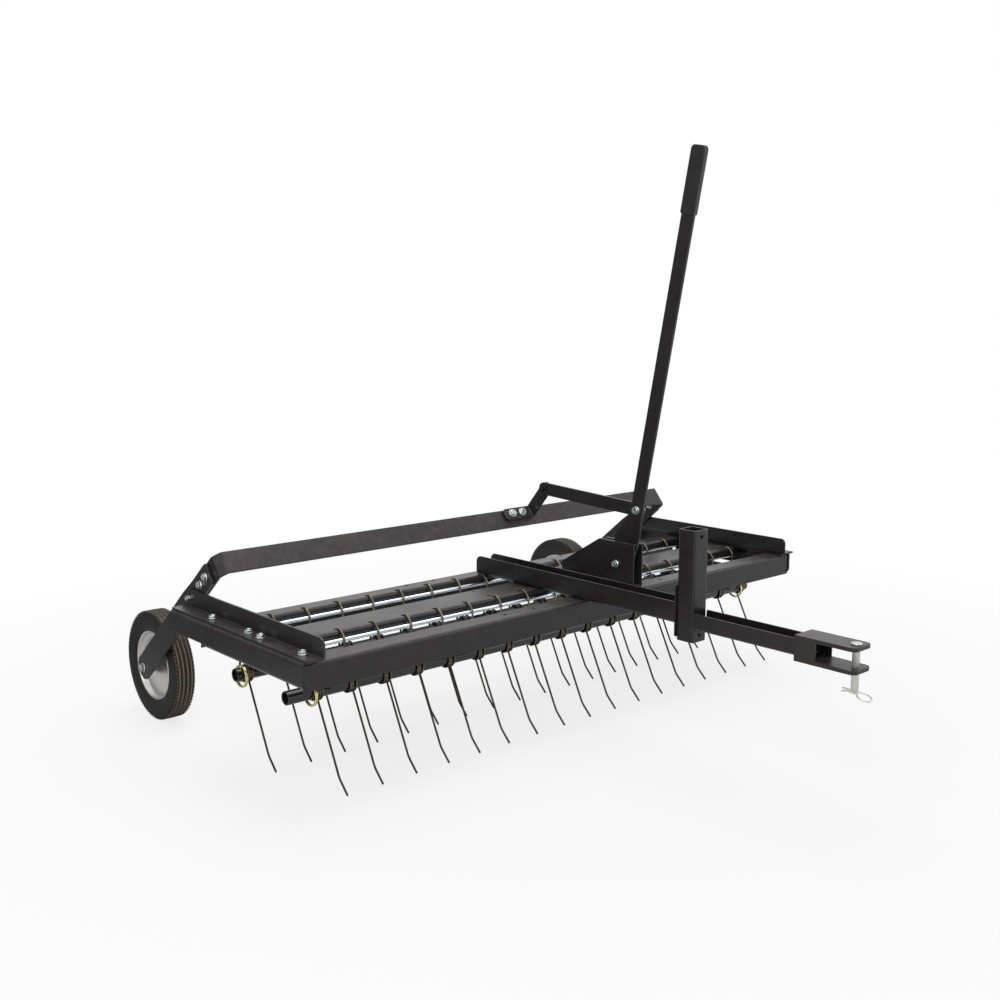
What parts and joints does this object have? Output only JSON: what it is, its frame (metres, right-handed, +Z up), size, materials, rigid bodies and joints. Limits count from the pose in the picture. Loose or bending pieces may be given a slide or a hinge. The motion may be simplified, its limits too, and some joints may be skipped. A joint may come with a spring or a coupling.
{
  "type": "tow-behind dethatcher",
  "caption": "Towed lawn dethatcher: open steel deck with staggered rows of coil-spring tines, hand lever and link that swing a yoke with rear wheels, mast and clevis hitch.",
  "frame": {"origin": "bottom centre of the bounding box, on the ground under the wheels", "axes": "+Z up, -Y towards the towing vehicle, +X to the side the lift lever stands on"},
  "size_m": [1.37, 1.4494, 1.183],
  "materials": {
    "black_powder_coat": "black satin powder coat",
    "black_tube": "black gloss paint",
    "zinc_plate": "bright zinc plate",
    "oiled_spring_steel": "oiled spring steel wire",
    "silver_rim": "silver paint",
    "black_rubber": "matt ribbed tyre rubber",
    "black_vinyl": "dipped vinyl"
  },
  "bodies": {
    "frame": {"arm_pivot_bolt_left": "zinc_plate", "arm_pivot_bolt_right": "zinc_plate", "deck_bolt_left_1": "zinc_plate", "deck_bolt_left_2": "zinc_plate", "deck_bolt_left_3": "zinc_plate", "deck_bolt_left_4": "zinc_plate", "deck_bolt_right_1": "zinc_plate", "deck_bolt_right_2": "zinc_plate", "deck_bolt_right_3": "zinc_plate", "deck_bolt_right_4": "zinc_plate", "drawbar": "black_powder_coat", "drawbar_clevis": "black_powder_coat", "lever_bracket": "black_powder_coat", "lever_pivot_bolt": "zinc_plate", "mast": "black_powder_coat", "side_channel_left": "black_powder_coat", "side_channel_right": "black_powder_coat", "strip_front": "black_powder_coat", "strip_middle": "black_powder_coat", "strip_rear": "black_powder_coat", "tine_row_front": "oiled_spring_steel", "tine_row_rear": "oiled_spring_steel", "tine_tube_front": "black_tube", "tine_tube_rear": "black_tube", "tongue": "black_powder_coat", "tongue_end_plate": "black_powder_coat", "tube_hanger_left": "black_powder_coat", "tube_hanger_right": "black_powder_coat", "upstand_left": "black_powder_coat", "upstand_right": "black_powder_coat"},
    "lever": {"lever": "black_powder_coat", "lever_grip": "black_vinyl", "link_bolt_front": "zinc_plate"},
    "link": {"lift_link": "black_powder_coat", "link_bolt_rear": "zinc_plate"},
    "yoke": {"axle_bolt_left": "zinc_plate", "axle_bolt_right": "zinc_plate", "crank": "black_powder_coat", "crank_bolt_1": "zinc_plate", "crank_bolt_2": "zinc_plate", "cross_bar": "black_powder_coat", "wheel_arm_left": "black_powder_coat", "wheel_arm_right": "black_powder_coat", "yoke_bolt_left_1": "zinc_plate", "yoke_bolt_left_2": "zinc_plate", "yoke_bolt_right_1": "zinc_plate", "yoke_bolt_right_2": "zinc_plate"},
    "wheel_left": {"wheel_rim_left": "silver_rim", "tyre_left": "black_rubber"},
    "wheel_right": {"wheel_rim_right": "silver_rim", "tyre_right": "black_rubber"},
    "hitch_pin": {"hitch_pin": "zinc_plate", "hitch_clip": "zinc_plate"}
  },
  "joints": [
    {"name": "lever_tilt", "type": "hinge", "parent": "frame", "child": "lever", "pos_m": [0.1584, -0.02337, 0.332], "axis": [-1, 0, 0], "range_deg": [-10, 40]},
    {"name": "yoke_swing", "type": "hinge", "parent": "frame", "child": "yoke", "pos_m": [0, 0.37062, 0.31335], "axis": [-1, 0, 0], "range_deg": [-6.72, 26.88]},
    {"name": "link_pivot", "type": "hinge", "parent": "lever", "child": "link", "pos_m": [0.1647, -0.06838, 0.452], "axis": [-1, 0, 0], "range_deg": [-49.52, 12.38]},
    {"name": "wheel_spin_left", "type": "hinge", "parent": "yoke", "child": "wheel_left", "pos_m": [-0.6045, 0.60667, 0.118], "axis": [1, 0, 0], "continuous": true},
    {"name": "wheel_spin_right", "type": "hinge", "parent": "yoke", "child": "wheel_right", "pos_m": [0.6045, 0.60667, 0.118], "axis": [1, 0, 0], "continuous": true},
    {"name": "pin_lift", "type": "slide", "parent": "frame", "child": "hitch_pin", "axis": [0, 0, 1], "range_m": [0, 0.028]}
  ],
  "couplings": [
    {"joint": "yoke_swing", "follows": "lever_tilt", "ratio": 0.672},
    {"joint": "link_pivot", "follows": "lever_tilt", "ratio": -1.238}
  ]
}
